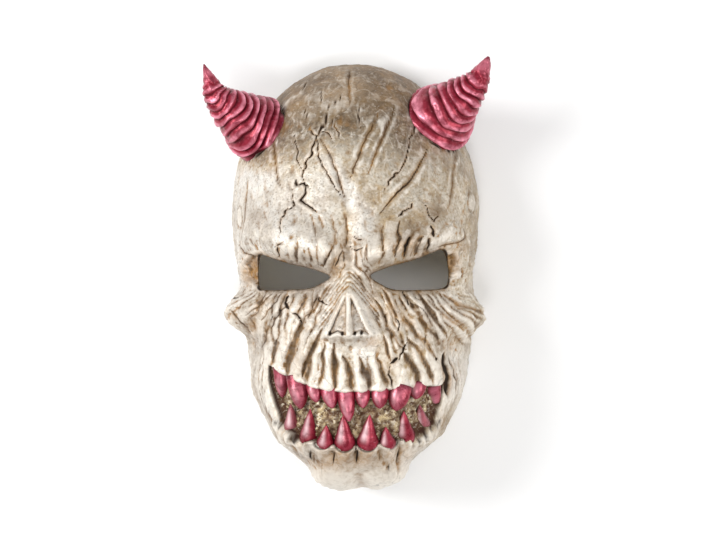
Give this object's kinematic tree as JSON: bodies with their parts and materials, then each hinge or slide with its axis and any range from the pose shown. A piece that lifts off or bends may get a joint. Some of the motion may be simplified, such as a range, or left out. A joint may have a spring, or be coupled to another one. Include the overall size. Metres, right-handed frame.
{
  "type": "demon mask",
  "caption": "Full-face costume mask in cast rubber: a cracked demon skull with open eye holes, bared crimson teeth and ribbed crimson horns.",
  "frame": {"origin": "middle of the footprint, on the plane of the rim that the mask lies on", "axes": "+X across the face towards the viewer's right, +Y up the face towards the crown, +Z out of the face; the mask lies on its rim with the face up"},
  "size_m": [0.1805, 0.271, 0.1149],
  "materials": {
    "bone_rubber": "pearly bone paint over cast rubber, with ochre and dark brown wiped into the grooves and cracks",
    "crimson_rubber": "pearly crimson paint over cast rubber, darker between the ribs and paler on the crests"
  },
  "bodies": {
    "root": {"mask_face": "bone_rubber", "left_horn": "crimson_rubber", "right_horn": "crimson_rubber"}
  },
  "joints": []
}
